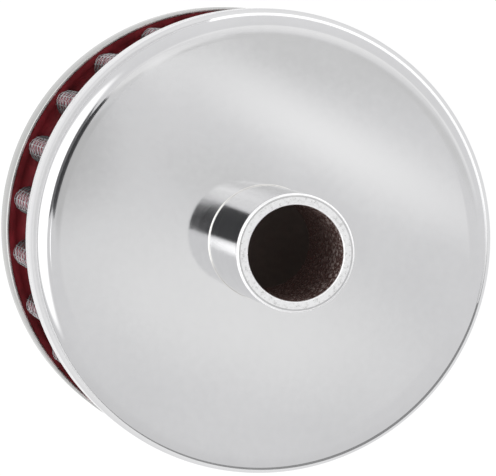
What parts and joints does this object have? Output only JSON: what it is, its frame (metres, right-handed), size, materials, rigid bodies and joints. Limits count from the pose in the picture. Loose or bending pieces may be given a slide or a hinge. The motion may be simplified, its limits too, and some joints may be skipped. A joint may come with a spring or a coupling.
{
  "type": "crankcase breather filter",
  "caption": "Push-in crankcase breather filter: chromed steel caps, a pleated red cotton element between wire screens, and a straight plated neck.",
  "frame": {"origin": "centre of the closed cap's flat face, which the part stands on", "axes": "+Z along the neck, from the closed cap to the mouth; +X through the crest of one pleat; +Y completes the frame"},
  "size_m": [0.077, 0.077, 0.084],
  "materials": {
    "chromed_steel": "bright chrome plate, softly polished, with a faint brushed haze",
    "neck_steel": "bright plated tube outside, dull grainy drawn steel inside the bore",
    "braze_metal": "plated brazing fillet, smooth and bright",
    "screen_wire": "woven wire screen, dull silver",
    "red_cotton": "oiled red cotton gauze, coarse open weave",
    "red_sealant": "dark red cast polyurethane, satin, with a smooth poured surface"
  },
  "bodies": {
    "root": {"closed_cap": "chromed_steel", "closed_seal": "red_sealant", "inner_screen": "screen_wire", "filter_media": "red_cotton", "outer_screen": "screen_wire", "base_seal": "red_sealant", "base_cap": "chromed_steel", "neck_tube": "neck_steel", "neck_braze": "braze_metal"}
  },
  "joints": []
}
